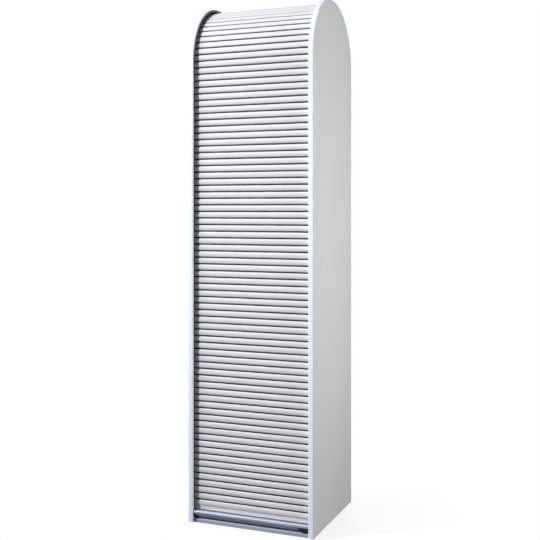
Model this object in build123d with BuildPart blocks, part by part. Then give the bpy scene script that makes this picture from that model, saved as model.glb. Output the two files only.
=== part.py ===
from build123d import *

import math
import os

# Tall storage cabinet closed by a roll front: a curtain of hooked slats that runs in arch-shaped
# tracks up the front, over the round top and down behind an inner back panel.
# Millimetres. The front faces -Y, +X is on the right seen from the front, the floor is z = 0.

# Carcass
HEIGHT = 1920.0
WIDTH = 485.0
DEPTH = 450.0
SIDE_BOARD = 18.0
PANEL_BOARD = 16.0
BACK_BOARD = 3.0
EDGE_BAND = 1.0
GLUE_LINE = 0.3
BOTTOM_SETBACK = 13.0
BOTTOM_NOSING = 5.0
NOSING_RADIUS = 3.5
BACK_GROOVE_DEPTH = 8.0
BACK_GROOVE_CLEARANCE = 0.3
BACK_EDGE_WALL = 3.4

# Tracks and the curtain's fit in them
TRACK_SETBACK = 8.5
TRACK_LIP = 5.0
TRACK_WALL = 2.0
TRACK_BASE = 1.5
TRACK_CLEARANCE = 0.3
SLOT_CLEARANCE = 0.7
SLAT_ENGAGEMENT = 7.0
SLAT_END_CLEARANCE = 1.0

# Slat section, measured from the hinge line between two slats
SLAT_PITCH = 24.0
SLAT_WALL = 1.4
SLAT_CREST = 6.2
SLAT_BACK = 3.8
CROWN_RISE = 3.0
CROWN_GAP = 4.5
HOOK_PLAY = 0.6
HOOK_LAP = 1.6

# How many slats stay below the round top when the curtain is open, and hang behind it when shut
UPPER_SLATS = 2
TAIL_SLATS = 4
STOP_GAP = 0.5

# Handle rail at the foot of the curtain
RAIL_HEIGHT = 24.5
RAIL_LIFT = 3.5
RAIL_SETBACK = 1.0
RAIL_END_CLEARANCE = 1.0
RAIL_WALL = 2.0
NOSE_HEIGHT = 9.0
NOSE_RADIUS = 3.0
GRIP_RADIUS = 8.0
GRIP_LIP = 1.0
STRIP_SHOWN = 18.5
STRIP_LAP = 20.0
STRIP_GAP = 3.5
STRIP_STEP = 1.2
GUIDE_FIT = 0.3
GUIDE_PLUG = 25.0
GUIDE_END_CLEARANCE = 1.5
LEFT_BLOCK_WIDTH = 7.0
RIGHT_BLOCK_WIDTH = 38.0
BLOCK_SETBACK = 3.2
BLOCK_FIT = 0.3
BLOCK_LIFT = 1.5
BUFFER_LENGTH = 24.0
BUFFER_DEPTH = 6.0
BUFFER_SPACING = 320.0

# Inside
SHELF_COUNT = 3
TOP_PANEL_DROP = 55.0
SHELF_FRONT_GAP = 10.0
SHELF_SIDE_CLEARANCE = 1.0
SHELF_BACK_CLEARANCE = 0.5
INNER_BACK_GAP = 5.0
SUPPORT_RADIUS = 2.4
SUPPORT_HOLE_FIT = 0.1
SUPPORT_PEG = 8.0
SUPPORT_TAB = 9.0
SUPPORT_TAB_HEIGHT = 5.0
SUPPORT_INSET = 50.0

# Places that follow from the carcass
HALF_WIDTH = WIDTH / 2
INNER_X = HALF_WIDTH - SIDE_BOARD
ARCH_RADIUS = DEPTH / 2
ARCH_Z = HEIGHT - ARCH_RADIUS
FLOOR_Z = PANEL_BOARD

# Rings of the track, as radii about the arch's axis; the same offsets hold on the straight runs
TRACK_OUTER = ARCH_RADIUS - TRACK_SETBACK
SLOT_OUTER = TRACK_OUTER - TRACK_LIP
HINGE_RADIUS = SLOT_OUTER - SLOT_CLEARANCE - SLAT_CREST
SLOT_INNER = HINGE_RADIUS - SLAT_BACK - SLOT_CLEARANCE
TRACK_INNER = SLOT_INNER - TRACK_WALL
TRACK_DEPTH = TRACK_BASE + SLAT_END_CLEARANCE + SLAT_ENGAGEMENT
SLAT_LENGTH = 2 * (INNER_X + SLAT_ENGAGEMENT)

# Slat section: t runs along the curtain from the lower hinge, n points out of the curtain's face
HOOK_LOW = -HOOK_PLAY / 2 - SLAT_WALL
HOOK_SEAT = -HOOK_PLAY / 2
CROWN_FOOT = HOOK_PLAY / 2 + SLAT_WALL + HOOK_PLAY
CROWN_TOP = SLAT_PITCH + CROWN_FOOT - CROWN_GAP
CROWN_MIDDLE = (CROWN_FOOT + CROWN_TOP) / 2
CROWN_EDGE = SLAT_CREST - CROWN_RISE
CROWN_INSIDE = CROWN_EDGE - SLAT_WALL / 2
WEB_FACE = SLAT_WALL - SLAT_BACK
TONGUE_TIP = WEB_FACE + HOOK_PLAY
HOOK_TIP = TONGUE_TIP + HOOK_LAP
NECK_BACK = HOOK_TIP + HOOK_PLAY
NECK_FRONT = NECK_BACK + SLAT_WALL
TONGUE_LOW = SLAT_PITCH + HOOK_PLAY / 2
TONGUE_TOP = TONGUE_LOW + SLAT_WALL

# Heights and depths of the handle rail
RAIL_Z = FLOOR_Z + RAIL_LIFT
RAIL_TOP = RAIL_Z + RAIL_HEIGHT
RAIL_FRONT = RAIL_SETBACK - ARCH_RADIUS
RAIL_BACK = -(HINGE_RADIUS + WEB_FACE)
RAIL_HALF = INNER_X - RAIL_END_CLEARANCE
NOSE_Z = RAIL_TOP - NOSE_HEIGHT
GRIP_Y = RAIL_FRONT + GRIP_LIP
GRIP_Z = NOSE_Z - GRIP_RADIUS
GRIP_WALL_Y = GRIP_Y + GRIP_RADIUS
GUIDE_FRONT = -(SLOT_OUTER - SLOT_CLEARANCE)
GUIDE_BACK = RAIL_BACK - RAIL_WALL - GUIDE_FIT
GUIDE_Z = RAIL_Z + RAIL_WALL + GUIDE_FIT
GUIDE_TOP = RAIL_TOP - RAIL_WALL - GUIDE_FIT
STRIP_BACK = -(HINGE_RADIUS - SLAT_BACK)
STRIP_FACE = CROWN_EDGE - STRIP_STEP
STRIP_LEG = CROWN_FOOT - STRIP_SHOWN + STRIP_GAP
STRIP_LOW = CROWN_FOOT - STRIP_SHOWN - STRIP_LAP

# The curtain's path and how many slats lie on each stretch of it
LEAD_Z = RAIL_TOP + STRIP_SHOWN - CROWN_FOOT
FIRST_HINGE_Z = LEAD_Z + SLAT_PITCH
FRONT_RUN = ARCH_Z - FIRST_HINGE_Z
ARC_RUN = math.pi * HINGE_RADIUS
FRONT_SLATS = math.floor(FRONT_RUN / SLAT_PITCH) - UPPER_SLATS
TAIL_START = math.ceil((FRONT_RUN + ARC_RUN) / SLAT_PITCH)
TAIL_END = TAIL_START + TAIL_SLATS
TRAVEL = FRONT_SLATS * SLAT_PITCH
TAIL_END_Z = ARCH_Z + FRONT_RUN + ARC_RUN - TAIL_END * SLAT_PITCH
STOP_TOP = TAIL_END_Z - TRAVEL - (TONGUE_TOP - SLAT_PITCH) - STOP_GAP

# Depths of the inside panels and heights of the shelves
SHELF_FRONT = STRIP_BACK + SHELF_FRONT_GAP
INNER_BACK_Y = SLOT_INNER - INNER_BACK_GAP - BACK_BOARD
BACK_Y = ARCH_RADIUS - EDGE_BAND - GLUE_LINE - BACK_EDGE_WALL - BACK_GROOVE_CLEARANCE - BACK_BOARD
BOTTOM_FRONT = BOTTOM_SETBACK - ARCH_RADIUS
TOP_PANEL_Z = ARCH_Z - TOP_PANEL_DROP
SHELF_STEP = (TOP_PANEL_Z - FLOOR_Z + PANEL_BOARD) / (SHELF_COUNT + 1)
SHELF_HEIGHTS = [FLOOR_Z + n * SHELF_STEP - PANEL_BOARD for n in range(1, SHELF_COUNT + 1)]
FIXED_SHELF_Z = SHELF_HEIGHTS[SHELF_COUNT // 2]
LOOSE_SHELF_HEIGHTS = [z for z in SHELF_HEIGHTS if z != FIXED_SHELF_Z]
SUPPORT_ROWS = [SHELF_FRONT + SUPPORT_INSET, INNER_BACK_Y - SUPPORT_INSET]


def arch(radius, foot, mode=Mode.ADD):
    """Face of a round-topped panel, drawn in (Y, Z) about the arch's axis."""
    with BuildLine() as outline:
        Polyline((-radius, ARCH_Z), (-radius, foot), (radius, foot), (radius, ARCH_Z))
        ThreePointArc((radius, ARCH_Z), (0, ARCH_Z + radius), (-radius, ARCH_Z))
    make_face(outline.edges(), mode=mode)


def arch_ring(outer, inner, foot):
    """Arch-shaped band between two radii, open at its foot."""
    arch(outer, foot)
    arch(inner, foot, mode=Mode.SUBTRACT)


def path_point(distance):
    """(Y, Z) on the curtain's hinge line, measured from the lead slat's hinge."""
    if distance <= FRONT_RUN:
        return -HINGE_RADIUS, FIRST_HINGE_Z + distance
    if distance <= FRONT_RUN + ARC_RUN:
        angle = (distance - FRONT_RUN) / HINGE_RADIUS
        return -HINGE_RADIUS * math.cos(angle), ARCH_Z + HINGE_RADIUS * math.sin(angle)
    return HINGE_RADIUS, ARCH_Z - (distance - FRONT_RUN - ARC_RUN)


def slat_plane(index):
    """Plane of a slat's left end: X runs along the curtain, Y out of its face."""
    y, z = path_point(index * SLAT_PITCH)
    next_y, next_z = path_point((index + 1) * SLAT_PITCH)
    return Plane(
        origin=(-SLAT_LENGTH / 2, y, z),
        x_dir=(0, next_y - y, next_z - z),
        z_dir=(1, 0, 0),
    )


def crown_and_tongue(front, back):
    """Upper part of a slat's outline, between the front and back of its lower part.

    It has the crown, the neck and the tongue that the next slat hooks on to.
    """
    Line((CROWN_FOOT, front), (CROWN_FOOT, CROWN_EDGE))
    ThreePointArc((CROWN_FOOT, CROWN_EDGE), (CROWN_MIDDLE, SLAT_CREST), (CROWN_TOP, CROWN_EDGE))
    Polyline(
        (CROWN_TOP, CROWN_EDGE),
        (CROWN_TOP, NECK_FRONT),
        (TONGUE_TOP, NECK_FRONT),
        (TONGUE_TOP, TONGUE_TIP),
        (TONGUE_LOW, TONGUE_TIP),
        (TONGUE_LOW, NECK_BACK),
        (CROWN_TOP - SLAT_WALL, NECK_BACK),
        (CROWN_TOP - SLAT_WALL, CROWN_INSIDE),
        (CROWN_FOOT + SLAT_WALL, CROWN_INSIDE),
        (CROWN_FOOT + SLAT_WALL, back),
    )


# Left side panel: round-topped board with the track's groove, the back panel's groove and peg holes
with BuildPart() as left_side_panel:
    with BuildSketch(Plane.YZ.offset(-HALF_WIDTH)):
        arch(ARCH_RADIUS - EDGE_BAND - GLUE_LINE, 0)
    extrude(amount=SIDE_BOARD)
    with BuildSketch(Plane.YZ.offset(-INNER_X)):
        arch_ring(TRACK_OUTER + TRACK_CLEARANCE, TRACK_INNER - TRACK_CLEARANCE, FLOOR_Z)
    extrude(amount=-TRACK_DEPTH, mode=Mode.SUBTRACT)
    with BuildSketch(Plane.YZ.offset(-INNER_X)):
        with Locations((BACK_Y - BACK_GROOVE_CLEARANCE, 0)):
            Rectangle(
                BACK_BOARD + 2 * BACK_GROOVE_CLEARANCE,
                ARCH_Z + BACK_GROOVE_CLEARANCE,
                align=(Align.MIN, Align.MIN),
            )
    extrude(amount=-BACK_GROOVE_DEPTH, mode=Mode.SUBTRACT)
    with BuildSketch(Plane.YZ.offset(-INNER_X)):
        with Locations(
            *[(y, z - SUPPORT_TAB_HEIGHT / 2) for y in SUPPORT_ROWS for z in LOOSE_SHELF_HEIGHTS]
        ):
            Circle(SUPPORT_RADIUS + SUPPORT_HOLE_FIT)
    extrude(amount=-SUPPORT_PEG, mode=Mode.SUBTRACT)

with BuildPart() as right_side_panel:
    mirror(left_side_panel.part, about=Plane.YZ)

# Edge bands: plastic strips glued round the front, the arch and the rear of each side panel
with BuildPart() as left_edge_band:
    with BuildSketch(Plane.YZ.offset(-HALF_WIDTH)):
        arch_ring(ARCH_RADIUS, ARCH_RADIUS - EDGE_BAND, 0)
    extrude(amount=SIDE_BOARD)

with BuildPart() as right_edge_band:
    mirror(left_edge_band.part, about=Plane.YZ)

# Guide tracks: channels pressed into the grooves, with their slots flush with the inner faces
with BuildPart() as left_guide_track:
    with BuildSketch(Plane.YZ.offset(-INNER_X - TRACK_DEPTH)):
        arch_ring(TRACK_OUTER, TRACK_INNER, FLOOR_Z)
    extrude(amount=TRACK_DEPTH)
    with BuildSketch(Plane.YZ.offset(-INNER_X)):
        arch_ring(SLOT_OUTER, SLOT_INNER, FLOOR_Z)
    extrude(amount=TRACK_BASE - TRACK_DEPTH, mode=Mode.SUBTRACT)

with BuildPart() as right_guide_track:
    mirror(left_guide_track.part, about=Plane.YZ)

# Stops in the feet of the rear slots, where the curtain's tail lands when the front is fully open
with BuildPart() as tail_stops:
    for side in (-1, 1):
        with Locations((side * (INNER_X + SLAT_ENGAGEMENT / 2), (SLOT_OUTER + SLOT_INNER) / 2, FLOOR_Z)):
            Box(
                SLAT_ENGAGEMENT,
                SLOT_OUTER - SLOT_INNER - 2 * TRACK_CLEARANCE,
                STOP_TOP - FLOOR_Z,
                align=(Align.CENTER, Align.CENTER, Align.MIN),
            )

# Bottom panel: stands on the floor between the sides, set back, with a nosing on its front edge
with BuildPart() as bottom_panel:
    with Locations((0, BOTTOM_FRONT + BOTTOM_NOSING, 0)):
        Box(
            2 * INNER_X,
            BACK_Y - BOTTOM_FRONT - BOTTOM_NOSING,
            PANEL_BOARD,
            align=(Align.CENTER, Align.MIN, Align.MIN),
        )

with BuildPart() as bottom_edge_band:
    with Locations((0, BOTTOM_FRONT, 0)):
        Box(2 * INNER_X, BOTTOM_NOSING, PANEL_BOARD, align=(Align.CENTER, Align.MIN, Align.MIN))
    front_top = bottom_edge_band.edges().filter_by(Axis.X).sort_by(Axis.Z)[-2:].sort_by(Axis.Y)[0]
    fillet(front_top, radius=NOSING_RADIUS)

# Top panel and fixed shelf: tie the sides together behind the curtain
with BuildPart() as top_panel:
    with Locations((0, SHELF_FRONT + EDGE_BAND, TOP_PANEL_Z)):
        Box(
            2 * INNER_X,
            INNER_BACK_Y - SHELF_FRONT - EDGE_BAND,
            PANEL_BOARD,
            align=(Align.CENTER, Align.MIN, Align.MIN),
        )

with BuildPart() as fixed_shelf:
    with Locations((0, SHELF_FRONT + EDGE_BAND, FIXED_SHELF_Z)):
        Box(
            2 * INNER_X,
            INNER_BACK_Y - SHELF_FRONT - EDGE_BAND,
            PANEL_BOARD,
            align=(Align.CENTER, Align.MIN, Align.MIN),
        )

# Loose shelves: lie on pegged supports with a little room at their ends and back
loose_shelves = []
for height in LOOSE_SHELF_HEIGHTS:
    with BuildPart() as loose_shelf:
        with Locations((0, SHELF_FRONT + EDGE_BAND, height)):
            Box(
                2 * (INNER_X - SHELF_SIDE_CLEARANCE),
                INNER_BACK_Y - SHELF_BACK_CLEARANCE - SHELF_FRONT - EDGE_BAND,
                PANEL_BOARD,
                align=(Align.CENTER, Align.MIN, Align.MIN),
            )
    loose_shelves.append(loose_shelf)

with BuildPart() as shelf_edge_bands:
    for height in (*LOOSE_SHELF_HEIGHTS, FIXED_SHELF_Z, TOP_PANEL_Z):
        room = SHELF_SIDE_CLEARANCE if height in LOOSE_SHELF_HEIGHTS else 0
        with Locations((0, SHELF_FRONT, height)):
            Box(
                2 * (INNER_X - room),
                EDGE_BAND,
                PANEL_BOARD,
                align=(Align.CENTER, Align.MIN, Align.MIN),
            )

with BuildPart() as shelf_supports:
    for side in (-1, 1):
        with Locations(
            *[
                (side * INNER_X, y, z - SUPPORT_TAB_HEIGHT / 2)
                for y in SUPPORT_ROWS
                for z in LOOSE_SHELF_HEIGHTS
            ]
        ):
            Cylinder(
                SUPPORT_RADIUS,
                SUPPORT_PEG,
                rotation=(0, side * 90, 0),
                align=(Align.CENTER, Align.CENTER, Align.MIN),
            )
            Box(
                SUPPORT_TAB,
                SUPPORT_TAB,
                SUPPORT_TAB_HEIGHT,
                align=(Align.MAX if side > 0 else Align.MIN, Align.CENTER, Align.CENTER),
            )

# Inner back panel hides the rear run of the curtain; the back panel closes the cabinet behind it
with BuildPart() as inner_back_panel:
    with Locations((0, INNER_BACK_Y, FLOOR_Z)):
        Box(
            2 * INNER_X,
            BACK_BOARD,
            TOP_PANEL_Z + PANEL_BOARD - FLOOR_Z,
            align=(Align.CENTER, Align.MIN, Align.MIN),
        )

with BuildPart() as back_panel:
    with Locations((0, BACK_Y, 0)):
        Box(
            2 * (INNER_X + BACK_GROOVE_DEPTH - BACK_GROOVE_CLEARANCE),
            BACK_BOARD,
            ARCH_Z,
            align=(Align.CENTER, Align.MIN, Align.MIN),
        )

# One slat of the curtain: a crowned wall with a hook at its foot and a tongue on its neck
with BuildPart() as slat:
    with BuildSketch():
        with BuildLine():
            Polyline(
                (CROWN_FOOT + SLAT_WALL, -SLAT_BACK),
                (HOOK_LOW, -SLAT_BACK),
                (HOOK_LOW, HOOK_TIP),
                (HOOK_SEAT, HOOK_TIP),
                (HOOK_SEAT, WEB_FACE),
                (CROWN_FOOT, WEB_FACE),
            )
            crown_and_tongue(WEB_FACE, -SLAT_BACK)
        make_face()
    extrude(amount=SLAT_LENGTH)

with BuildPart() as front_slats:
    with Locations(*[slat_plane(index) for index in range(FRONT_SLATS)]):
        add(slat.part, clean=False)

with BuildPart() as top_slats:
    with Locations(*[slat_plane(index) for index in range(FRONT_SLATS, TAIL_START)]):
        add(slat.part, clean=False)

with BuildPart() as tail_slats:
    with Locations(*[slat_plane(index) for index in range(TAIL_START, TAIL_END)]):
        add(slat.part, clean=False)

# Lead slat: the last crown, with a flat strip below it that steps in and is screwed to the rail's back
with BuildPart() as lead_slat:
    with BuildSketch(slat_plane(-1)):
        with BuildLine():
            Polyline(
                (CROWN_FOOT + SLAT_WALL, STRIP_FACE - SLAT_WALL),
                (STRIP_LEG + SLAT_WALL, STRIP_FACE - SLAT_WALL),
                (STRIP_LEG + SLAT_WALL, -SLAT_BACK),
                (STRIP_LOW, -SLAT_BACK),
                (STRIP_LOW, WEB_FACE),
                (STRIP_LEG, WEB_FACE),
                (STRIP_LEG, STRIP_FACE),
                (CROWN_FOOT, STRIP_FACE),
            )
            crown_and_tongue(STRIP_FACE, STRIP_FACE - SLAT_WALL)
        make_face()
    extrude(amount=SLAT_LENGTH)

# Handle rail: extruded section with a rounded nose, a finger grip under it and one hollow chamber
with BuildPart() as handle_rail:
    with BuildSketch(Plane.YZ.offset(-RAIL_HALF)):
        with BuildLine():
            Polyline(
                (GRIP_WALL_Y, GRIP_Z),
                (GRIP_WALL_Y, RAIL_Z),
                (RAIL_BACK, RAIL_Z),
                (RAIL_BACK, RAIL_TOP),
                (RAIL_FRONT + NOSE_RADIUS, RAIL_TOP),
            )
            TangentArc(
                (RAIL_FRONT + NOSE_RADIUS, RAIL_TOP),
                (RAIL_FRONT, RAIL_TOP - NOSE_RADIUS),
                tangent=(-1, 0),
            )
            Polyline((RAIL_FRONT, RAIL_TOP - NOSE_RADIUS), (RAIL_FRONT, NOSE_Z), (GRIP_Y, NOSE_Z))
            TangentArc((GRIP_Y, NOSE_Z), (GRIP_WALL_Y, GRIP_Z), tangent=(1, 0))
        make_face()
        with Locations((GUIDE_FRONT - GUIDE_FIT, RAIL_Z + RAIL_WALL)):
            Rectangle(
                GUIDE_BACK - GUIDE_FRONT + 2 * GUIDE_FIT,
                RAIL_HEIGHT - 2 * RAIL_WALL,
                align=(Align.MIN, Align.MIN),
                mode=Mode.SUBTRACT,
            )
    extrude(amount=2 * RAIL_HALF)

# End guides: plugged into the rail's chamber, they carry its ends in the track slots
with BuildPart() as left_end_guide:
    with BuildSketch(Plane.YZ.offset(-INNER_X - TRACK_DEPTH + TRACK_BASE + GUIDE_END_CLEARANCE)):
        with Locations((GUIDE_FRONT, GUIDE_Z)):
            Rectangle(GUIDE_BACK - GUIDE_FRONT, GUIDE_TOP - GUIDE_Z, align=(Align.MIN, Align.MIN))
    extrude(amount=TRACK_DEPTH - TRACK_BASE - GUIDE_END_CLEARANCE + RAIL_END_CLEARANCE + GUIDE_PLUG)

with BuildPart() as right_end_guide:
    mirror(left_end_guide.part, about=Plane.YZ)


def end_block_section():
    """Block that fills the finger grip under the nose, a little behind the nose's front."""
    face = BLOCK_SETBACK - ARCH_RADIUS
    reach = GRIP_RADIUS - BLOCK_FIT
    top = GRIP_Z + math.sqrt(reach**2 - (face - GRIP_Y) ** 2)
    with BuildLine() as outline:
        Polyline(
            (GRIP_Y + reach, GRIP_Z),
            (GRIP_Y + reach, RAIL_Z + BLOCK_LIFT),
            (face, RAIL_Z + BLOCK_LIFT),
            (face, top),
        )
        RadiusArc((face, top), (GRIP_Y + reach, GRIP_Z), reach)
    make_face(outline.edges())


# End blocks: moulded stops under the two ends of the nose, wide on the right, narrow on the left
with BuildPart() as left_end_block:
    with BuildSketch(Plane.YZ.offset(-RAIL_HALF)):
        end_block_section()
    extrude(amount=LEFT_BLOCK_WIDTH)

with BuildPart() as right_end_block:
    with BuildSketch(Plane.YZ.offset(RAIL_HALF)):
        end_block_section()
    extrude(amount=-RIGHT_BLOCK_WIDTH)

# Buffers: rubber pads under the rail's back, which it stands on when the front is shut
with BuildPart() as door_buffers:
    with GridLocations(BUFFER_SPACING, 0, 2, 1):
        with Locations((0, RAIL_BACK, FLOOR_Z)):
            Box(
                BUFFER_LENGTH,
                BUFFER_DEPTH,
                RAIL_LIFT,
                align=(Align.CENTER, Align.MAX, Align.MIN),
            )

pieces = {
    "left_side_panel": left_side_panel,
    "right_side_panel": right_side_panel,
    "left_edge_band": left_edge_band,
    "right_edge_band": right_edge_band,
    "left_guide_track": left_guide_track,
    "right_guide_track": right_guide_track,
    "tail_stops": tail_stops,
    "bottom_panel": bottom_panel,
    "bottom_edge_band": bottom_edge_band,
    "top_panel": top_panel,
    "fixed_shelf": fixed_shelf,
    "shelf_edge_bands": shelf_edge_bands,
    "shelf_supports": shelf_supports,
    "inner_back_panel": inner_back_panel,
    "back_panel": back_panel,
    "front_slats": front_slats,
    "top_slats": top_slats,
    "tail_slats": tail_slats,
    "lead_slat": lead_slat,
    "handle_rail": handle_rail,
    "left_end_guide": left_end_guide,
    "right_end_guide": right_end_guide,
    "left_end_block": left_end_block,
    "right_end_block": right_end_block,
    "door_buffers": door_buffers,
}
for number, loose_shelf in enumerate(loose_shelves, start=1):
    pieces[f"loose_shelf_{number}"] = loose_shelf

os.makedirs("parts", exist_ok=True)
for name, piece in pieces.items():
    piece.part.label = name
    export_step(piece.part, f"parts/{name}.step")
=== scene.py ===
import math

import bmesh
import bpy
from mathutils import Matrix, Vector


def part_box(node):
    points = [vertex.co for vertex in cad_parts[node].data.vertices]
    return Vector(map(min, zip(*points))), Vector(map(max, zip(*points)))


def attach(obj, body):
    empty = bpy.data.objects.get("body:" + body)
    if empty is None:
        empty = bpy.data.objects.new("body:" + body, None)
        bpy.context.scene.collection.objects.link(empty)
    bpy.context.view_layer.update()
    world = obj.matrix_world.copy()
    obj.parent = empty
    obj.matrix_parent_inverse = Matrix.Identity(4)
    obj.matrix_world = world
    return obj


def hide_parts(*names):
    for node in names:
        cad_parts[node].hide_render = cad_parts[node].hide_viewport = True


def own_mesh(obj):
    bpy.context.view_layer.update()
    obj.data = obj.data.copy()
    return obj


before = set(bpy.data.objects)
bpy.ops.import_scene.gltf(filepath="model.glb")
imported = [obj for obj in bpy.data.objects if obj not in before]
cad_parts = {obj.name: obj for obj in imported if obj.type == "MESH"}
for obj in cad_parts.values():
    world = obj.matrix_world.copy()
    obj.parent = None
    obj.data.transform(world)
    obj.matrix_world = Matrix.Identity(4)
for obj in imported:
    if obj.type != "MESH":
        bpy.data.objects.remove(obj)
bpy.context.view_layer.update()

# Side panels: two round-topped chipboards, 18 mm thick, faced with cool off-white melamine.
# The inner faces have grooves for the tracks and the back panel and two rows of drilled peg holes,
# painted as spots of shade.
SIDE_COLOUR = (0.72, 0.735, 0.75)
HOLE_RADIUS = 0.0025
HOLE_DROP = 0.0025
HOLE_SHADE = 0.06
STEPS_BETWEEN_SHELVES = 25
SPARE_HOLES = 8
SUPPORT_TAB = 0.009
PATTERN_RANGE = (0.3, 0.7)
NO_TINT = (1, 1, 1)


def add_node(material, kind, inputs, **settings):
    """New node of a material; each input is a value or the socket that feeds it."""
    made = material.node_tree.nodes.new(kind)
    for name, value in settings.items():
        setattr(made, name, value)
    for name, value in inputs.items():
        if isinstance(value, bpy.types.NodeSocket):
            material.node_tree.links.new(value, made.inputs[name])
        else:
            made.inputs[name].default_value = value
    return made


def new_finish(name, **values):
    """New material, with even values set on its shader's own sockets."""
    material = bpy.data.materials.new(name)
    material.use_nodes = True
    shader = material.node_tree.nodes["Principled BSDF"]
    for socket, value in values.items():
        shader.inputs[socket.replace("_", " ")].default_value = value
    return material, shader


def feed(material, shader, **sockets):
    """Joins patterns to the shader's sockets."""
    for name, socket in sockets.items():
        material.node_tree.links.new(socket, shader.inputs[name.replace("_", " ")])


def grain(material, scale, stretch=(1, 1, 1), detail=2.0):
    """Noise fixed to the piece, with about this many grains to the metre in each direction."""
    place = add_node(material, "ShaderNodeTexCoord", {}).outputs["Object"]
    drawn = add_node(material, "ShaderNodeMapping", {"Vector": place, "Scale": stretch})
    noise = add_node(
        material,
        "ShaderNodeTexNoise",
        {"Vector": drawn.outputs["Vector"], "Scale": scale, "Detail": detail},
    )
    return noise.outputs["Fac"]


def tones(material, pattern, colour, low, high):
    """Colour that a pattern carries from its low share to its high share."""
    ramp = add_node(material, "ShaderNodeValToRGB", {"Fac": pattern})
    for stop, position, share in zip(ramp.color_ramp.elements, PATTERN_RANGE, (low, high)):
        stop.position = position
        stop.color = (*[part * share for part in colour], 1)
    return ramp.outputs["Color"]


def times(material, first, second):
    """Product of two colours, which a mix node takes in its inputs 6 and 7."""
    mixed = add_node(
        material,
        "ShaderNodeMix",
        {0: 1.0, 6: first, 7: second},
        data_type="RGBA",
        blend_type="MULTIPLY",
    )
    return mixed.outputs[2]


def spread(material, pattern, low, high):
    """Number that a pattern carries from low to high."""
    start, end = PATTERN_RANGE
    ranged = add_node(
        material,
        "ShaderNodeMapRange",
        {"Value": pattern, "From Min": start, "From Max": end, "To Min": low, "To Max": high},
    )
    return ranged.outputs["Result"]


def relief(material, pattern, height, strength):
    """Surface normal of a pattern that stands this high."""
    bump = add_node(
        material,
        "ShaderNodeBump",
        {"Height": pattern, "Distance": height, "Strength": strength},
    )
    return bump.outputs["Normal"]


def melamine(name, colour):
    """Pearl-textured melamine: fine bumps in a semi-matt film over a slowly drifting tone."""
    material, shader = new_finish(name, Specular_IOR_Level=0.35)
    pearl = grain(material, scale=1200)
    drift = grain(material, scale=2.5, detail=4.0)
    feed(
        material,
        shader,
        Base_Color=times(
            material,
            tones(material, pearl, colour, low=0.96, high=1.02),
            tones(material, drift, NO_TINT, low=0.97, high=1.0),
        ),
        Roughness=spread(material, pearl, low=0.42, high=0.56),
        Normal=relief(material, pearl, height=0.0002, strength=0.25),
    )
    return material


def work_out(material, operation, *inputs):
    """Result of a sum on patterns and numbers."""
    node = add_node(material, "ShaderNodeMath", dict(enumerate(inputs)), operation=operation)
    return node.outputs["Value"]


def drill(material, rows, first, last, step, inside):
    """Paints rows of holes as dark spots of shade, each row at its depth y, on what lies nearer the
    middle than inside.
    """
    place = add_node(material, "ShaderNodeTexCoord", {}).outputs["Object"]
    x, y, z = add_node(material, "ShaderNodeSeparateXYZ", {"Vector": place}).outputs
    from_rows = [
        work_out(material, "ABSOLUTE", work_out(material, "SUBTRACT", y, row)) for row in rows
    ]
    across = work_out(material, "MINIMUM", *from_rows)
    along = work_out(material, "PINGPONG", work_out(material, "SUBTRACT", z, first), step / 2)
    squares = [work_out(material, "POWER", part, 2.0) for part in (across, along)]
    away = work_out(material, "SQRT", work_out(material, "ADD", *squares))
    hole = work_out(material, "LESS_THAN", away, HOLE_RADIUS)
    for operation, part, limit in (
        ("LESS_THAN", work_out(material, "ABSOLUTE", x), inside),
        ("GREATER_THAN", z, first - step / 2),
        ("LESS_THAN", z, last + step / 2),
    ):
        hole = work_out(material, "MULTIPLY", hole, work_out(material, operation, part, limit))
    shader = material.node_tree.nodes["Principled BSDF"]
    plain = shader.inputs["Base Color"].links[0].from_socket
    shade = tones(material, hole, NO_TINT, low=1.0, high=HOLE_SHADE)
    feed(material, shader, Base_Color=times(material, plain, shade))


def dress(piece, *finishes):
    """Gives a piece its materials in place of any that it came with."""
    if piece.data.materials:
        piece.data.materials.clear()
    for finish in finishes:
        piece.data.materials.append(finish)


support_low, support_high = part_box("shelf_supports")
hole_rows = (support_low.y + SUPPORT_TAB / 2, support_high.y - SUPPORT_TAB / 2)
low_hole, high_hole = [
    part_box(name)[0].z - HOLE_DROP for name in ("loose_shelf_1", "loose_shelf_2")
]
hole_step = (high_hole - low_hole) / STEPS_BETWEEN_SHELVES
spare_run = SPARE_HOLES * hole_step
inner_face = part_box("bottom_panel")[1].x

side_board = melamine("side_board", SIDE_COLOUR)
# The peg holes are painted shade: dark disks in place of the recesses' shaded insides.
drill(
    side_board,
    rows=hole_rows,
    first=low_hole - spare_run,
    last=high_hole + spare_run,
    step=hole_step,
    inside=inner_face + HOLE_RADIUS / 2,
)
for name in ("left_side_panel", "right_side_panel"):
    dress(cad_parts[name], side_board)

# Edge bands: 1 mm strips of lavender-white plastic, drawn through a die, so finely lined along
# their length, glued hot round the front, arch and rear of each side panel and eased by a cutter.
BAND_COLOUR = (0.80, 0.84, 0.97)
BAND_ROUGHNESS = 0.4
BAND_SEAT = 0.0016
BAND_EASE = 0.0009
ARC_STEPS = 80
CREASE = math.radians(35)
DIE_LINES = 1800
LINE_DRIFT = 2
SIDES = (("left", 1), ("right", -1))

band_low, band_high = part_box("left_edge_band")
arch_radius = band_high.y
arch_height = band_high.z - arch_radius


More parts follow.
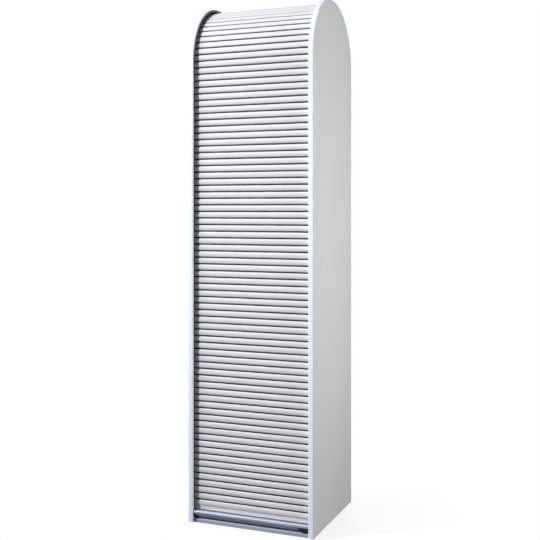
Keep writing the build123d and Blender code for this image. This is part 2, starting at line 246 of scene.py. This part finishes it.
def eased(corners, steps=5):
    """Outline through corners given as (across, up, radius), each turned by an arc."""
    outline = []
    earlier = corners[-1:] + corners[:-1]
    later = corners[1:] + corners[:1]
    for before, corner, after in zip(earlier, corners, later):
        point, radius = Vector(corner[:2]), corner[2]
        to_before = (Vector(before[:2]) - point).normalized()
        to_after = (Vector(after[:2]) - point).normalized()
        half = to_before.angle(to_after) / 2
        centre = point + (to_before + to_after).normalized() * radius / math.sin(half)
        start = point + to_before * radius / math.tan(half) - centre
        end = point + to_after * radius / math.tan(half) - centre
        if radius:
            swept = [start.slerp(end, step / steps).normalized() for step in range(steps + 1)]
            outline += [centre + spoke * radius for spoke in swept]
        else:
            outline.append(point)
    return outline


def make_piece(name, form):
    """Object of a finished form, smooth but for the edges that turn by more than the crease."""
    bmesh.ops.recalc_face_normals(form, faces=form.faces)
    mesh = bpy.data.meshes.new(name)
    form.to_mesh(mesh)
    form.free()
    mesh.shade_smooth()
    mesh.set_sharp_from_angle(angle=CREASE)
    piece = bpy.data.objects.new(name, mesh)
    bpy.context.scene.collection.objects.link(piece)
    return piece


def along_arch(name, outline, foot):
    """Strip round the panel's front, arch and rear, from a section in (x, inset from the rim)."""
    turns = [math.pi * step / ARC_STEPS for step in range(ARC_STEPS + 1)]
    arc = [(-math.cos(turn), math.sin(turn), arch_height) for turn in turns]
    form = bmesh.new()
    rings = []
    for out_y, out_z, base in [(-1, 0, foot), *arc, (1, 0, foot)]:
        ring = []
        for x, inset in outline:
            reach = arch_radius - inset
            ring.append(form.verts.new((x, out_y * reach, base + out_z * reach)))
        rings.append(ring)
    for ring, following in zip(rings, rings[1:]):
        for i in range(len(ring)):
            form.faces.new((ring[i - 1], ring[i], following[i], following[i - 1]))
    form.faces.new(rings[0])
    form.faces.new(rings[-1])
    return make_piece(name, form)


def drawn_plastic(name, colour, roughness, lined=(1, 0, 0)):
    """Plastic drawn through a die: faint lines along its length and a satin skin."""
    material, shader = new_finish(name, Specular_IOR_Level=0.45)
    lines = grain(material, scale=1.0, stretch=[DIE_LINES * part + LINE_DRIFT for part in lined])
    drift = grain(material, scale=4.0)
    feed(
        material,
        shader,
        Base_Color=times(
            material,
            tones(material, lines, colour, low=0.97, high=1.01),
            tones(material, drift, NO_TINT, low=0.975, high=1.0),
        ),
        Roughness=spread(material, lines, low=roughness - 0.05, high=roughness + 0.07),
        Normal=relief(material, lines, height=0.00005, strength=0.2),
    )
    return material


edge_band = drawn_plastic("edge_band", BAND_COLOUR, BAND_ROUGHNESS)
for side, towards in SIDES:
    strip = along_arch(
        f"{side}_band",
        eased(
            [
                (towards * band_low.x, 0, BAND_EASE),
                (towards * band_high.x, 0, BAND_EASE),
                (towards * band_high.x, BAND_SEAT, 0),
                (towards * band_low.x, BAND_SEAT, 0),
            ]
        ),
        band_low.z,
    )
    dress(strip, edge_band)
    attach(strip, "cabinet")
    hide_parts(f"{side}_edge_band")

# Guide tracks: dark grey plastic channels, drawn straight and bent hot round the arch, pressed
# into the side panels' grooves so that only the rims of their slots show.
TRACK_COLOUR = (0.018, 0.018, 0.021)
TRACK_LIP = 0.005
TRACK_WALL = 0.002
TRACK_BASE = 0.0015
TRACK_SLOT = 0.0114
TRACK_EASE = 0.0004

track_low, track_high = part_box("left_guide_track")
track_rim = arch_radius - track_high.y
slot_rim = track_rim + TRACK_LIP
slot_end = slot_rim + TRACK_SLOT
track = drawn_plastic("track", TRACK_COLOUR, roughness=0.5)
for side, towards in SIDES:
    seat = towards * track_low.x
    base = towards * (track_low.x + TRACK_BASE)
    face = towards * track_high.x
    channel = along_arch(
        f"{side}_channel",
        eased(
            [
                (seat, track_rim, 0),
                (face, track_rim, TRACK_EASE),
                (face, slot_rim, TRACK_EASE),
                (base, slot_rim, TRACK_EASE),
                (base, slot_end, TRACK_EASE),
                (face, slot_end, TRACK_EASE),
                (face, slot_end + TRACK_WALL, TRACK_EASE),
                (seat, slot_end + TRACK_WALL, 0),
            ],
            steps=3,
        ),
        track_low.z,
    )
    dress(channel, track)
    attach(channel, "cabinet")
    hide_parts(f"{side}_guide_track")

# Tail stops: two moulded black plugs in the feet of the rear slots.
# The last slat lands on them when the curtain is fully open.
BLACK_COLOUR = (0.022, 0.022, 0.026)
MOULD_EASE = 0.0005
EASE_STEPS = 3
SHARP_TURN = math.radians(50)


def moulded(name, colour, roughness, grains):
    """Plastic or rubber from an etched mould: a fine leathery grain, dull in its hollows."""
    material, shader = new_finish(name, Specular_IOR_Level=0.4)
    etch = grain(material, scale=grains, detail=3.0)
    feed(
        material,
        shader,
        Base_Color=tones(material, etch, colour, low=0.8, high=1.25),
        Roughness=spread(material, etch, low=roughness + 0.1, high=roughness - 0.05),
        Normal=relief(material, etch, height=0.0002, strength=0.35),
    )
    return material


def soften(piece, radius):
    """Eases a CAD piece's sharp edges by modifiers, which leave its mesh as it is."""
    piece.modifiers.new("joined", "WELD").merge_threshold = radius / 100
    ease = piece.modifiers.new("eased", "BEVEL")
    ease.width = radius
    ease.segments = EASE_STEPS
    ease.angle_limit = SHARP_TURN
    ease.harden_normals = True


black_plastic = moulded("black_plastic", BLACK_COLOUR, roughness=0.45, grains=1500)
dress(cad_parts["tail_stops"], black_plastic)
soften(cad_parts["tail_stops"], MOULD_EASE)

# Bottom panel: a 16 mm melamine board that stands on the floor between the sides. A solid plastic
# nosing, drawn through a die so that its top falls to a rounded edge, is glued along its front. Its
# colour is the edge bands' lavender white painted darker and greyer, as the shade it lies in at the
# cabinet's foot.
INNER_COLOUR = (0.74, 0.745, 0.755)
# Painted shade: the band colour darkened for the lesser light at the foot.
NOSING_SHADE_COLOUR = (0.36, 0.395, 0.52)
NOSING_RADIUS = 0.004
NOSING_EASE = 0.0006
NOSING_REACH = 0.004
NOSING_FALL = 0.0034
TONE_STEP = 0.618
ALONG_X = (0, 1, 1)

inner_board = melamine("inner_board", INNER_COLOUR)
dress(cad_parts["bottom_panel"], inner_board)


def drawn_out(name, sections, left, right, second=()):
    """Piece drawn out along X from sections in (y, z), each an outline and then any holes.

    Walls that end at the points numbered in second take the second finish.
    """
    form = bmesh.new()
    tone = form.faces.layers.float.new("tone")
    for number, outlines in enumerate(sections):
        made = []
        ends = []
        for x in (left, right):
            rings = [[form.verts.new((x, *point)) for point in outline] for outline in outlines]
            rim = [
                form.edges.new((ring[i - 1], ring[i])) for ring in rings for i in range(len(ring))
            ]
            filled = bmesh.ops.triangle_fill(form, use_beauty=True, edges=rim)
            made += [part for part in filled["geom"] if isinstance(part, bmesh.types.BMFace)]
            ends.append(rings)
        for near, far in zip(*ends):
            for i in range(len(near)):
                wall = form.faces.new((near[i - 1], near[i], far[i], far[i - 1]))
                wall.material_index = int(i in second)
                made.append(wall)
        for face in made:
            face[tone] = number * TONE_STEP % 1
    return make_piece(name, form)


nosing_low, nosing_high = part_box("bottom_edge_band")
nosing_front = nosing_low.y - NOSING_REACH
nosing_outline = eased(
    [
        (nosing_front, nosing_low.z, NOSING_EASE),
        (nosing_high.y, nosing_low.z, 0),
        (nosing_high.y, nosing_high.z, 0),
        (nosing_front, nosing_high.z - NOSING_FALL, NOSING_RADIUS),
    ],
    steps=8,
)
shaded_nosing_plastic = drawn_plastic("nosing", NOSING_SHADE_COLOUR, roughness=0.2, lined=ALONG_X)
nosing = drawn_out("bottom_nosing", [[nosing_outline]], nosing_low.x, nosing_high.x)
dress(nosing, shaded_nosing_plastic)
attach(nosing, "cabinet")
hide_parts("bottom_edge_band")

# Top panel and shelves: 16 mm melamine boards, one shelf and the top fixed between the sides,
# two shelves loose on supports. Each has a glued band on the edge behind the curtain.
BOARD_EASE = 0.0003

for name in ("top_panel", "fixed_shelf", "loose_shelf_1", "loose_shelf_2"):
    dress(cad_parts[name], inner_board)
lengthwise_band = drawn_plastic("lengthwise_band", BAND_COLOUR, BAND_ROUGHNESS, lined=ALONG_X)
dress(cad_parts["shelf_edge_bands"], lengthwise_band)
soften(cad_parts["shelf_edge_bands"], BOARD_EASE)

# Shelf supports: zinc-plated steel pegs with a flat tab, pushed into holes in the sides.
# The plating has a faint spangle and a dull sheen.
ZINC_COLOUR = (0.62, 0.63, 0.65)
TAB_EASE = 0.0006


def plated_steel(name, colour):
    """Zinc plate: patches of slightly different tone and gloss."""
    material, shader = new_finish(name, Metallic=1.0)
    place = add_node(material, "ShaderNodeTexCoord", {}).outputs["Object"]
    spangle = add_node(material, "ShaderNodeTexVoronoi", {"Vector": place, "Scale": 700.0})
    patch = spangle.outputs["Distance"]
    feed(
        material,
        shader,
        Base_Color=tones(material, patch, colour, low=0.9, high=1.05),
        Roughness=spread(material, patch, low=0.28, high=0.42),
        Normal=relief(material, grain(material, scale=2500), height=0.00005, strength=0.3),
    )
    return material


zinc = plated_steel("support_steel", ZINC_COLOUR)
dress(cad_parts["shelf_supports"], zinc)
soften(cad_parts["shelf_supports"], TAB_EASE)

# Cam fittings: die-cast zinc discs let into the undersides of the top panel and the fixed shelf,
# which draw those boards tight against the sides. Each has a cross recess for a screwdriver.
CAM_INSET = 0.034
CAM_RINGS = [
    (0.0030, 0.0002, 0.4),
    (0.0032, 0.0006, 0.4),
    (0.0069, 0.0006, 0),
    (0.0075, 0.0002, 0),
    (0.0075, 0, 0),
]
CROSS_LOBES = 4
HEAD_STEPS = 48


def heads(name, rings, lobes, spots, out):
    """Round heads with a recess, one at each spot, facing out.

    A ring is (radius, height, depth of its lobes); they run from the recess's floor to the seat.
    """
    form = bmesh.new()
    turn = Vector(out).to_track_quat("Z", "Y")
    angles = [2 * math.pi * step / HEAD_STEPS for step in range(HEAD_STEPS)]
    for spot in spots:
        drawn = []
        for radius, height, lobe in rings:
            reach = [radius * (1 + lobe * math.cos(lobes * angle)) for angle in angles]
            points = [(r * math.cos(a), r * math.sin(a), height) for r, a in zip(reach, angles)]
            drawn.append([form.verts.new(Vector(spot) + turn @ Vector(point)) for point in points])
        for ring, following in zip(drawn, drawn[1:]):
            for i in range(HEAD_STEPS):
                form.faces.new((ring[i - 1], ring[i], following[i], following[i - 1]))
        form.faces.new(drawn[0])
        form.faces.new(drawn[-1])
    return make_piece(name, form)


for name in ("top_panel", "fixed_shelf"):
    board_low, board_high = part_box(name)
    cam_reach = board_high.x - CAM_INSET
    cam_spots = [(x, y, board_low.z) for x in (-cam_reach, cam_reach) for y in hole_rows]
    cams = heads(f"{name}_cams", CAM_RINGS, CROSS_LOBES, cam_spots, (0, 0, -1))
    dress(cams, zinc)
    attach(cams, "cabinet")

# Back panels: 3 mm hardboard lacquered white, the rear one slid into the sides' grooves,
# the inner one pinned behind the shelves to hide the curtain's rear run.
HARDBOARD_COLOUR = (0.70, 0.71, 0.725)


def lacquered_hardboard(name, colour):
    """White lacquer on pressed fibre: short soft fibres show through a thin eggshell coat."""
    material, shader = new_finish(name, Specular_IOR_Level=0.3)
    fibre = grain(material, scale=450, stretch=(1, 1, 0.35), detail=5.0)
    cloud = grain(material, scale=9, detail=4.0)
    feed(
        material,
        shader,
        Base_Color=times(
            material,
            tones(material, fibre, colour, low=0.95, high=1.02),
            tones(material, cloud, NO_TINT, low=0.965, high=1.0),
        ),
        Roughness=spread(material, fibre, low=0.5, high=0.64),
        Normal=relief(material, fibre, height=0.0002, strength=0.2),
    )
    return material


hardboard = lacquered_hardboard("hardboard", HARDBOARD_COLOUR)
for name in ("inner_back_panel", "back_panel"):
    dress(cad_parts[name], hardboard)

# Back screws: four plated pan-head screws with a star recess, driven through the foot of the back
# panel into the rear edge of the bottom panel.
SCREW_RINGS = [
    (0.0011, 0.0006, 0.16),
    (0.0013, 0.0017, 0.16),
    (0.0020, 0.0018, 0),
    (0.0029, 0.0013, 0),
    (0.0035, 0.0005, 0),
    (0.0035, 0, 0),
]
STAR_LOBES = 6
BACK_SCREWS = (-0.18, -0.06, 0.06, 0.18)

back_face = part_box("back_panel")[1].y
bottom_low, bottom_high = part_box("bottom_panel")
screw_height = (bottom_low.z + bottom_high.z) / 2
back_spots = [(x, back_face, screw_height) for x in BACK_SCREWS]
back_screws = heads("back_screws", SCREW_RINGS, STAR_LOBES, back_spots, (0, 1, 0))
dress(back_screws, zinc)
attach(back_screws, "cabinet")

# Curtain: slats of white PVC drawn through a die, each with a crowned face, a hook at its foot and
# a tongue on its neck, hooked one into the next; the hooks and necks are painted dark as the shade
# in the gaps between the slats.
SLAT_COLOUR = (0.675, 0.675, 0.71)
# Painted shade for the gaps between slats, laid on the hooks and necks.
GAP_SHADE_COLOUR = (0.030, 0.030, 0.040)
PITCH = 0.024
SLAT_WALL = 0.0014
CREST = 0.0062
SLAT_BACK = 0.0038
CROWN_FOOT = 0.0023
CROWN_TOP = 0.0218
CROWN_RISE = 0.003
FACE_RISE = 0.0021
SHOULDER = 0.0033
HOOK_LOW = -0.0017
HOOK_SEAT = -0.0003
HOOK_TIP = -0.0002
WEB_FACE = -0.0024
NECK_BACK = 0.0004
NECK_FRONT = 0.0018
TONGUE_LOW = 0.0243
TONGUE_TOP = 0.0257
TONGUE_TIP = -0.0018
FACE_STEPS = 12
SHOULDER_STEPS = 6

front_low, front_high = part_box("front_slats")
tail_low, tail_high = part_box("tail_slats")
hinge_radius = SLAT_BACK - front_high.y
first_hinge = front_low.z - HOOK_LOW
front_run = arch_height - first_hinge
arc_run = math.pi * hinge_radius
front_count = round((front_high.z - front_low.z) / PITCH)
tail_start = math.ceil((front_run + arc_run) / PITCH)
tail_count = round((tail_high.z - tail_low.z) / PITCH)


def curtain_point(distance):
    """(Y, Z) on the curtain's hinge line, this far along from the lead slat's hinge."""
    if distance <= front_run:
        return Vector((-hinge_radius, first_hinge + distance))
    turn = (distance - front_run) / hinge_radius
    if turn <= math.pi:
        return Vector((-hinge_radius * math.cos(turn), arch_height + hinge_radius * math.sin(turn)))
    return Vector((hinge_radius, arch_height - (distance - front_run - arc_run)))


def turned(centre, radius, start, end, steps):
    """Points of an arc about a centre, from one angle to another."""
    angles = [start + (end - start) * step / steps for step in range(steps + 1)]
    return [(centre[0] + radius * math.cos(a), centre[1] + radius * math.sin(a)) for a in angles]


def crown():
    """Shown face of a slat in (along, out), foot to top: a shallow arc with round shoulders."""
    half = (CROWN_TOP - CROWN_FOOT) / 2
    radius = (half**2 + FACE_RISE**2) / (2 * FACE_RISE)
    middle = CROWN_FOOT + half
    centre_out = CREST - radius
    shoulder_out = centre_out + math.sqrt((radius - SHOULDER) ** 2 - (half - SHOULDER) ** 2)
    lean = math.atan2(shoulder_out - centre_out, half - SHOULDER)
    foot_centre = (CROWN_FOOT + SHOULDER, shoulder_out)
    top_centre = (CROWN_TOP - SHOULDER, shoulder_out)
    return [
        *turned(foot_centre, SHOULDER, math.pi, math.pi - lean, SHOULDER_STEPS),
        *turned((middle, centre_out), radius, math.pi - lean, lean, FACE_STEPS)[1:-1],
        *turned(top_centre, SHOULDER, lean, 0, SHOULDER_STEPS),
    ]


neck_and_tongue = [
    (CROWN_TOP, NECK_FRONT),
    (TONGUE_TOP, NECK_FRONT),
    (TONGUE_TOP, TONGUE_TIP),
    (TONGUE_LOW, TONGUE_TIP),
    (TONGUE_LOW, NECK_BACK),
]
hollow = [
    (CROWN_TOP - SLAT_WALL, NECK_BACK),
    (CROWN_TOP - SLAT_WALL, CREST - CROWN_RISE - SLAT_WALL / 2),
    (CROWN_FOOT + SLAT_WALL, CREST - CROWN_RISE - SLAT_WALL / 2),
]
back_wall = [(CROWN_FOOT + SLAT_WALL, -SLAT_BACK), (HOOK_LOW, -SLAT_BACK)]
hook = [
    (HOOK_LOW, HOOK_TIP),
    (HOOK_SEAT, HOOK_TIP),
    (HOOK_SEAT, WEB_FACE),
    (CROWN_FOOT, WEB_FACE),
]
slat_face = crown()
slat_outline = [*slat_face, *neck_and_tongue, *hollow, *back_wall, *hook]
neck_walls = range(len(slat_face), len(slat_face) + len(neck_and_tongue))
hook_walls = range(len(slat_outline) - len(hook), len(slat_outline))


def hung(outline, index):
    """A slat's outline moved to its place on the curtain, in (y, z)."""
    origin = curtain_point(index * PITCH)
    along = (curtain_point((index + 1) * PITCH) - origin).normalized()
    out = Vector((-along.y, along.x))
    return [origin + along * t + out * n for t, n in outline]


def drawn_pvc(name, colour):
    """White PVC: die lines along the slat, a satin skin and a tone that differs by slat."""
    material, shader = new_finish(name, Specular_IOR_Level=0.25)
    lines = grain(material, scale=1.0, stretch=(6, 1700, 1700))
    batch = add_node(material, "ShaderNodeAttribute", {}, attribute_name="tone").outputs["Fac"]
    feed(
        material,
        shader,
        Base_Color=times(
            material,
            tones(material, lines, colour, low=0.975, high=1.01),
            tones(material, batch, NO_TINT, low=0.97, high=1.0),
        ),
        Roughness=spread(material, lines, low=0.44, high=0.56),
        Normal=relief(material, lines, height=0.00005, strength=0.2),
    )
    return material


slat_white = drawn_pvc("slat", SLAT_COLOUR)
slat_gap_shade = drawn_pvc("slat_gap_shade", GAP_SHADE_COLOUR)


def slat_run(name, node, first, last, body):
    """Slats of one stretch of the curtain as one piece that rides on a body in place of a node."""
    sections = [[hung(slat_outline, index)] for index in range(first, last)]
    # The hooks, necks and the wall under each crown take the painted gap shade.
    gap_shade_walls = {0, *neck_walls, *hook_walls}
    run = drawn_out(name, sections, front_low.x, front_high.x, second=gap_shade_walls)
    dress(run, slat_white, slat_gap_shade)
    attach(run, body)
    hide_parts(node)
    return run


front_curtain = slat_run("front_run", "front_slats", 0, front_count, "door")
slat_run("top_run", "top_slats", front_count, tail_start, "cabinet")
slat_run("tail_run", "tail_slats", tail_start, tail_start + tail_count, "tail")

# Lead slat: the curtain's lowest slat, drawn from the same PVC. Below its crown it has, in place of
# a hook, a flat strip that steps back and goes down behind the handle rail, which is fixed to it.
STRIP_STEP = 0.0012
STRIP_GAP = 0.0035

lead_low, lead_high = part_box("lead_slat")
rail_low, rail_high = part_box("handle_rail")
strip_face = CREST - CROWN_RISE - STRIP_STEP
strip_leg = rail_high.z + STRIP_GAP - first_hinge + PITCH
strip_low = lead_low.z - first_hinge + PITCH
lead_strip = [
    (CROWN_FOOT + SLAT_WALL, strip_face - SLAT_WALL),
    (strip_leg + SLAT_WALL, strip_face - SLAT_WALL),
    (strip_leg + SLAT_WALL, -SLAT_BACK),
    (strip_low, -SLAT_BACK),
    (strip_low, WEB_FACE),
    (strip_leg, WEB_FACE),
    (strip_leg, strip_face),
    (CROWN_FOOT, strip_face),
]
lead_outline = [*slat_face, *neck_and_tongue, *hollow, *lead_strip]
lead_section = [hung(lead_outline, -1)]
# The lead slat's neck takes the same painted gap shade.
lead = drawn_out("lead", [lead_section], lead_low.x, lead_high.x, second=neck_walls)
dress(lead, slat_white, slat_gap_shade)
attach(lead, "door")
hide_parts("lead_slat")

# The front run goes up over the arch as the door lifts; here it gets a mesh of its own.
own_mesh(front_curtain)

# Handle rail: anodised aluminium, pressed through a die with a rounded nose, an underside that
# slopes back as a finger grip and one hollow chamber, then screwed to the lead slat's strip.
# Its top, under the step in that strip, is painted black as the shade of the gap there.
RAIL_COLOUR = (0.60, 0.635, 0.80)
NOSE_HEIGHT = 0.009
NOSE_ROUND = 0.003
NOSE_LEAN = 0.0006
NOSE_FOOT = 0.001
GRIP_DEPTH = 0.012
FOOT_LIFT = 0.0018
RAIL_WALL = 0.002
RAIL_EASE = 0.0004
CHAMBER_DEPTH = 0.0069

nose = rail_high.z - NOSE_HEIGHT
gap_shade_edge = (-hinge_radius - strip_face, rail_high.z)
grip = rail_low.y + GRIP_DEPTH
chamber = rail_high.y - RAIL_WALL - CHAMBER_DEPTH
rail_outline = eased(
    [
        (grip, rail_low.z + FOOT_LIFT, RAIL_EASE),
        (rail_high.y, rail_low.z, RAIL_EASE),
        (rail_high.y, rail_high.z, RAIL_EASE),
        (*gap_shade_edge, 0),
        (rail_low.y, rail_high.z, NOSE_ROUND),
        (rail_low.y + NOSE_LEAN, nose, NOSE_FOOT),
    ],
    steps=10,
)
chamber_outline = [
    (chamber, rail_low.z + RAIL_WALL),
    (rail_high.y - RAIL_WALL, rail_low.z + RAIL_WALL),
    (rail_high.y - RAIL_WALL, rail_high.z - RAIL_WALL),
    (chamber, rail_high.z - RAIL_WALL),
]


def anodised(name, colour):
    """Anodised aluminium: die lines along the rail under a thin, bluish, silky oxide skin."""
    material, shader = new_finish(name, Metallic=0.4)
    lines = grain(material, scale=1.0, stretch=(5, 2400, 2400), detail=3.0)
    haze = grain(material, scale=30)
    feed(
        material,
        shader,
        Base_Color=times(
            material,
            tones(material, lines, colour, low=0.93, high=1.04),
            tones(material, haze, NO_TINT, low=0.97, high=1.0),
        ),
        Roughness=spread(material, lines, low=0.34, high=0.46),
        Normal=relief(material, lines, height=0.00006, strength=0.25),
    )
    return material


rail_finish = anodised("rail", RAIL_COLOUR)
rail = drawn_out(
    "rail_bar",
    [[rail_outline, chamber_outline]],
    rail_low.x,
    rail_high.x,
    second={rail_outline.index(Vector(gap_shade_edge))},
)
# The rail's top behind the gap's edge takes black plastic as painted shade.
dress(rail, rail_finish, black_plastic)
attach(rail, "door")
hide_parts("handle_rail")

# Strip screws: three plated pan-head screws, driven from inside through the lead slat's strip into
# the rail's back.
STRIP_SCREWS = (-0.16, 0, 0.16)
STRIP_SCREW_RISE = 0.01

strip_spots = [(x, lead_high.y, lead_low.z + STRIP_SCREW_RISE) for x in STRIP_SCREWS]
strip_screws = heads("strip_screws", SCREW_RINGS, STAR_LOBES, strip_spots, (0, 1, 0))
dress(strip_screws, zinc)
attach(strip_screws, "door")

# End guides, end blocks and buffers: moulded black plastic plugs that carry the rail in its tracks,
# moulded stops under the nose's ends, and two dull rubber pads glued under the rail.
RUBBER_COLOUR = (0.035, 0.034, 0.033)

for name in ("left_end_guide", "right_end_guide", "left_end_block", "right_end_block"):
    dress(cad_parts[name], black_plastic)
    soften(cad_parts[name], MOULD_EASE)
rubber = moulded("buffer", RUBBER_COLOUR, roughness=0.75, grains=900)
dress(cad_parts["door_buffers"], rubber)
soften(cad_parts["door_buffers"], MOULD_EASE)

# Foot lip: a black rubber blade, drawn through a die and glued along the rail's underside in front
# of the buffers. It fills the gap over the bottom panel's nosing with painted shade.
LIP_INSET = 0.0006
LIP_THICKNESS = 0.002
LIP_CLEARANCE = 0.0004
LIP_EASE = 0.0003

lip_front = grip + LIP_INSET
lip_back = lip_front + LIP_THICKNESS
foot_slope = FOOT_LIFT / (rail_high.y - grip)
lip_top = rail_low.z + FOOT_LIFT - foot_slope * (LIP_INSET + LIP_THICKNESS)
nosing_slope = NOSING_FALL / (nosing_high.y - nosing_front)
lip_foot = nosing_high.z - nosing_slope * (nosing_high.y - lip_back) + LIP_CLEARANCE
lip_outline = eased(
    [
        (lip_front, lip_foot, LIP_EASE),
        (lip_back, lip_foot, LIP_EASE),
        (lip_back, lip_top, 0),
        (lip_front, lip_top + foot_slope * LIP_THICKNESS, 0),
    ]
)
lip_left, lip_right = nosing_low.x + LIP_CLEARANCE, nosing_high.x - LIP_CLEARANCE
# The blade is a dark sheet standing for the gap's shade.
shade_lip = drawn_out("foot_lip_shade", [[lip_outline]], lip_left, lip_right)
dress(shade_lip, rubber)
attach(shade_lip, "door")

# Floor: a plain pale round sheet under the cabinet that takes a faint shadow and fades into the
# white surroundings towards its rim. It throws no light and no reflection back on the cabinet.
FLOOR_REACH = 0.8
FLOOR_STEPS = 96
FLOOR_COLOUR = (0.88, 0.88, 0.88)
FADE_START = 0.2
FULL_ALPHA = 0.2

floor_form = bmesh.new()
bmesh.ops.create_circle(floor_form, cap_ends=True, segments=FLOOR_STEPS, radius=FLOOR_REACH)
floor = make_piece("floor", floor_form)
floor_finish, floor_shader = new_finish("floor", Base_Color=(*FLOOR_COLOUR, 1), Roughness=0.7)
floor_place = add_node(floor_finish, "ShaderNodeTexCoord", {}).outputs["Object"]
floor_distance = add_node(
    floor_finish, "ShaderNodeVectorMath", {0: floor_place}, operation="LENGTH"
).outputs["Value"]
floor_edge = add_node(
    floor_finish,
    "ShaderNodeMapRange",
    {
        "Value": floor_distance,
        "From Min": FADE_START,
        "From Max": FLOOR_REACH,
        "To Min": FULL_ALPHA,
        "To Max": 0.0,
    },
    interpolation_type="SMOOTHSTEP",
).outputs["Result"]
feed(floor_finish, floor_shader, Alpha=floor_edge)
dress(floor, floor_finish)
floor.visible_diffuse = False
floor.visible_glossy = False

# Light: a key lamp far and high on the left of the front, a broader one that grazes the front from
# further round, and a slim fill on the right, nearly in the front's plane. Tall soft lamps stand by
# the right side, the left side and the back, in even surroundings that look white but light dimly.
SURROUND = 0.068
SEEN_WHITE = 1.0


def lamp(name, place, target, width, height, watts, beam=180):
    """Rectangular soft lamp that faces a point, with its beam's width in degrees."""
    light = bpy.data.lights.new(name, "AREA")
    light.shape = "RECTANGLE"
    light.size = width
    light.size_y = height
    light.energy = watts
    light.spread = math.radians(beam)
    stand = bpy.data.objects.new(name, light)
    stand.location = place
    stand.rotation_euler = (Vector(target) - Vector(place)).to_track_quat("-Z", "Y").to_euler()
    bpy.context.scene.collection.objects.link(stand)
    return stand


key = lamp(
    "key",
    place=(-6.2, -5.1, 5.0),
    target=(0.5, -0.2, 1.2),
    width=0.8,
    height=0.8,
    watts=75,
    beam=46,
)
graze = lamp(
    "graze",
    place=(-8.0, -2.9, 4.6),
    target=(0.3, -0.2, 1.2),
    width=2.0,
    height=1.0,
    watts=31,
    beam=46,
)
lamp(
    "fill",
    place=(3.2, -0.55, 1.15),
    target=(0, -0.2, 1.05),
    width=0.5,
    height=1.5,
    watts=55,
)
lamp(
    "side",
    place=(1.05, 0, 1.2),
    target=(0.24, 0, 1.2),
    width=0.6,
    height=1.7,
    watts=3.1,
)
lamp(
    "left",
    place=(-1.15, 0.15, 1.15),
    target=(-0.24, 0.05, 1.05),
    width=0.6,
    height=2.0,
    watts=12,
)
lamp(
    "back",
    place=(0, 1.3, 1.0),
    target=(0, 0.22, 1.0),
    width=0.6,
    height=1.6,
    watts=16,
)

# The key and the grazing lamp don't light the left panel, whose outer face they would bleach.
shaded = bpy.data.collections.new("shaded_from_key")
shaded.objects.link(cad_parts["left_side_panel"])
for light in (key, graze):
    light.light_linking.receiver_collection = shaded
shaded.collection_objects[0].light_linking.link_state = "EXCLUDE"

world = bpy.data.worlds.new("surroundings")
bpy.context.scene.world = world
world.use_nodes = True
seen = add_node(world, "ShaderNodeLightPath", {}).outputs["Is Camera Ray"]
strength = add_node(world, "ShaderNodeMix", {0: seen, 2: SURROUND, 3: SEEN_WHITE}).outputs[0]
backdrop = world.node_tree.nodes["Background"]
backdrop.inputs["Color"].default_value = (*NO_TINT, 1)
world.node_tree.links.new(strength, backdrop.inputs["Strength"])

# Camera: level, a little over a metre up and to the right of the front. Its picture is shifted down
# rather than tilted, so that upright edges stay parallel as they do in the photograph.
LENS = 60.9
SENSOR_WIDTH = 36
PICTURE_SHIFT = -0.1132
CAMERA_PLACE = (1.2998, -3.2207, 1.150)
CAMERA_TURN = math.radians(22.14)

camera = bpy.data.cameras.new("camera")
camera.lens = LENS
camera.sensor_width = SENSOR_WIDTH
camera.shift_y = PICTURE_SHIFT
viewpoint = bpy.data.objects.new("camera", camera)
viewpoint.location = CAMERA_PLACE
viewpoint.rotation_euler = (math.pi / 2, 0, CAMERA_TURN)
bpy.context.scene.collection.objects.link(viewpoint)
bpy.context.scene.camera = viewpoint
bpy.context.scene.view_settings.view_transform = "Standard"
